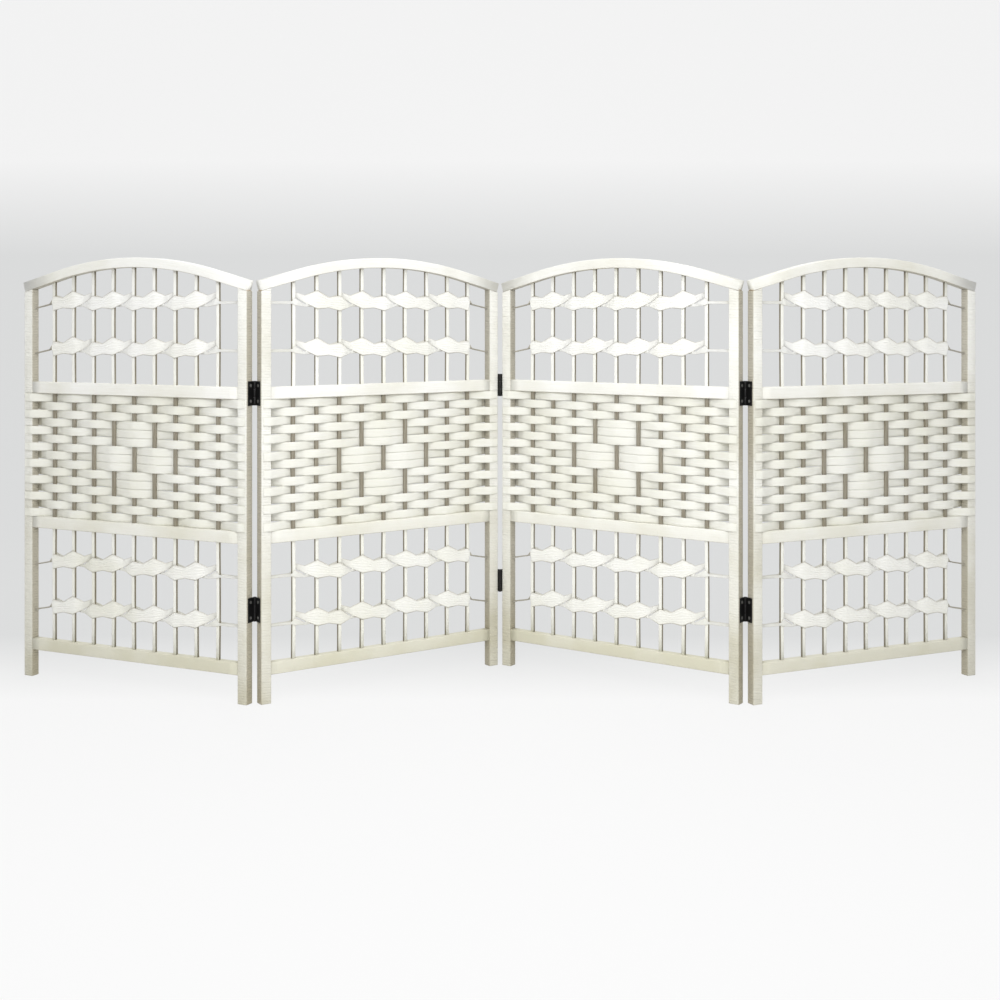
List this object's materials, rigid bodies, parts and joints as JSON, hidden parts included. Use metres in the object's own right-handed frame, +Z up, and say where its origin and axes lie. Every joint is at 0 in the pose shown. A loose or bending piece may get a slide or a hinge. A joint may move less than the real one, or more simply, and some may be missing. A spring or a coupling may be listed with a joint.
{
  "type": "folding screen",
  "caption": "Low white folding screen with arched hinged panels of woven paper strips, upright sticks and twined ribbon bands.",
  "frame": {"origin": "middle of the floor area that the half-open screen covers", "axes": "+X along the row of panels to the viewer's right, +Y towards the back, +Z up"},
  "size_m": [1.59, 0.272, 0.6929],
  "materials": {
    "timber": "sawn",
    "wound_paper": "matte",
    "faced_timber": "satin",
    "stick_timber": "matte",
    "woven_paper": "matte",
    "ribbon_paper": "matte",
    "black_steel": "satin"
  },
  "bodies": {
    "panel_1": {"panel_1_left_post_core": "timber", "panel_1_right_post_core": "timber", "panel_1_left_post_wrap": "wound_paper", "panel_1_right_post_wrap": "wound_paper", "panel_1_bottom_rail": "faced_timber", "panel_1_lower_crossrail": "faced_timber", "panel_1_upper_crossrail": "faced_timber", "panel_1_arch_rail": "faced_timber", "panel_1_sticks": "stick_timber", "panel_1_woven_strips": "woven_paper", "panel_1_lower_ribbons": "ribbon_paper", "panel_1_upper_ribbons": "ribbon_paper", "panel_1_hinge_leaves": "black_steel", "fold_1_pins": "black_steel"},
    "panel_2": {"panel_2_left_post_core": "timber", "panel_2_right_post_core": "timber", "panel_2_left_post_wrap": "wound_paper", "panel_2_right_post_wrap": "wound_paper", "panel_2_bottom_rail": "faced_timber", "panel_2_lower_crossrail": "faced_timber", "panel_2_upper_crossrail": "faced_timber", "panel_2_arch_rail": "faced_timber", "panel_2_sticks": "stick_timber", "panel_2_woven_strips": "woven_paper", "panel_2_lower_ribbons": "ribbon_paper", "panel_2_upper_ribbons": "ribbon_paper", "panel_2_hinge_leaves": "black_steel", "fold_2_pins": "black_steel"},
    "panel_3": {"panel_3_left_post_core": "timber", "panel_3_right_post_core": "timber", "panel_3_left_post_wrap": "wound_paper", "panel_3_right_post_wrap": "wound_paper", "panel_3_bottom_rail": "faced_timber", "panel_3_lower_crossrail": "faced_timber", "panel_3_upper_crossrail": "faced_timber", "panel_3_arch_rail": "faced_timber", "panel_3_sticks": "stick_timber", "panel_3_woven_strips": "woven_paper", "panel_3_lower_ribbons": "ribbon_paper", "panel_3_upper_ribbons": "ribbon_paper", "panel_3_hinge_leaves": "black_steel", "fold_3_pins": "black_steel"},
    "panel_4": {"panel_4_left_post_core": "timber", "panel_4_right_post_core": "timber", "panel_4_left_post_wrap": "wound_paper", "panel_4_right_post_wrap": "wound_paper", "panel_4_bottom_rail": "faced_timber", "panel_4_lower_crossrail": "faced_timber", "panel_4_upper_crossrail": "faced_timber", "panel_4_arch_rail": "faced_timber", "panel_4_sticks": "stick_timber", "panel_4_woven_strips": "woven_paper", "panel_4_lower_ribbons": "ribbon_paper", "panel_4_upper_ribbons": "ribbon_paper", "panel_4_hinge_leaves": "black_steel"}
  },
  "joints": [
    {"name": "fold_1", "type": "hinge", "parent": "panel_2", "child": "panel_1", "pos_m": [-0.3803, -0.11899, 0.38], "axis": [0, 0, -1], "range_deg": [-60, 120]},
    {"name": "fold_2", "type": "hinge", "parent": "panel_2", "child": "panel_3", "pos_m": [0, 0.12069, 0.38], "axis": [0, 0, -1], "range_deg": [-70, 110]},
    {"name": "fold_3", "type": "hinge", "parent": "panel_3", "child": "panel_4", "pos_m": [0.3803, -0.11899, 0.38], "axis": [0, 0, 1], "range_deg": [-60, 120]}
  ]
}
